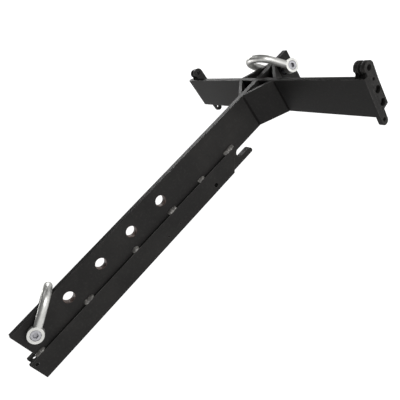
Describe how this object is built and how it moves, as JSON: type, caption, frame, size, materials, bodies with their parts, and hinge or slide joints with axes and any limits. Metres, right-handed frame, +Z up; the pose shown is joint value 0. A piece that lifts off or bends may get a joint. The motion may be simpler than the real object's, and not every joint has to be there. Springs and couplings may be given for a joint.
{
  "type": "drawbar crosshead frame",
  "caption": "Flat steel towing boom with a gusseted crosshead, clevis ears at the crosshead's ends, a row of adjustment holes and a swinging bow shackle at each end.",
  "frame": {"origin": "middle of the length and width, on the underside of the boom", "axes": "+X along the crosshead bar towards its right end, +Y along the boom from the clevis nose to the rear shackle, +Z up"},
  "size_m": [0.508, 0.7444, 0.1396],
  "materials": {
    "black_coat": "satin black powder coat with a light texture, rubbed thin on edges",
    "coated_weld": "satin black powder coat over rippled weld bead",
    "zinc_bow": "bright galvanised forging, soft sheen with faint mottling",
    "zinc_pin": "bright plated socket-head pin"
  },
  "bodies": {
    "frame": {"boom_web": "black_coat", "crosshead_bar": "black_coat", "doubler_left": "black_coat", "doubler_right": "black_coat", "gusset_front_left": "black_coat", "gusset_front_right": "black_coat", "gusset_rear_left": "black_coat", "gusset_rear_right": "black_coat", "tab_ear_left": "black_coat", "tab_ear_right": "black_coat", "plain_ear_left": "black_coat", "plain_ear_right": "black_coat", "doubler_welds_left": "coated_weld", "doubler_welds_right": "coated_weld", "gusset_welds_front": "coated_weld", "gusset_welds_rear": "coated_weld", "ear_welds_left": "coated_weld", "ear_welds_right": "coated_weld"},
    "front_bow": {"front_shackle_bow": "zinc_bow"},
    "front_pin": {"front_shackle_pin": "zinc_pin"},
    "rear_bow": {"rear_shackle_bow": "zinc_bow"},
    "rear_pin": {"rear_shackle_pin": "zinc_pin"}
  },
  "joints": [
    {"name": "front_shackle_swing", "type": "hinge", "parent": "frame", "child": "front_bow", "pos_m": [-0.00096, -0.32154, 0.07351], "axis": [0.9548, -0.0617, 0.2907], "range_deg": [0, 168]},
    {"name": "front_pin_draw", "type": "slide", "parent": "front_bow", "child": "front_pin", "axis": [0.9548, -0.0617, 0.2907], "range_m": [0, 0.071]},
    {"name": "rear_shackle_swing", "type": "hinge", "parent": "frame", "child": "rear_bow", "pos_m": [0.0022, 0.34758, 0.07467], "axis": [-0.9568, 0.01, -0.2907], "range_deg": [0, 172]},
    {"name": "rear_pin_draw", "type": "slide", "parent": "rear_bow", "child": "rear_pin", "axis": [0.9568, -0.01, 0.2907], "range_m": [0, 0.071]}
  ]
}
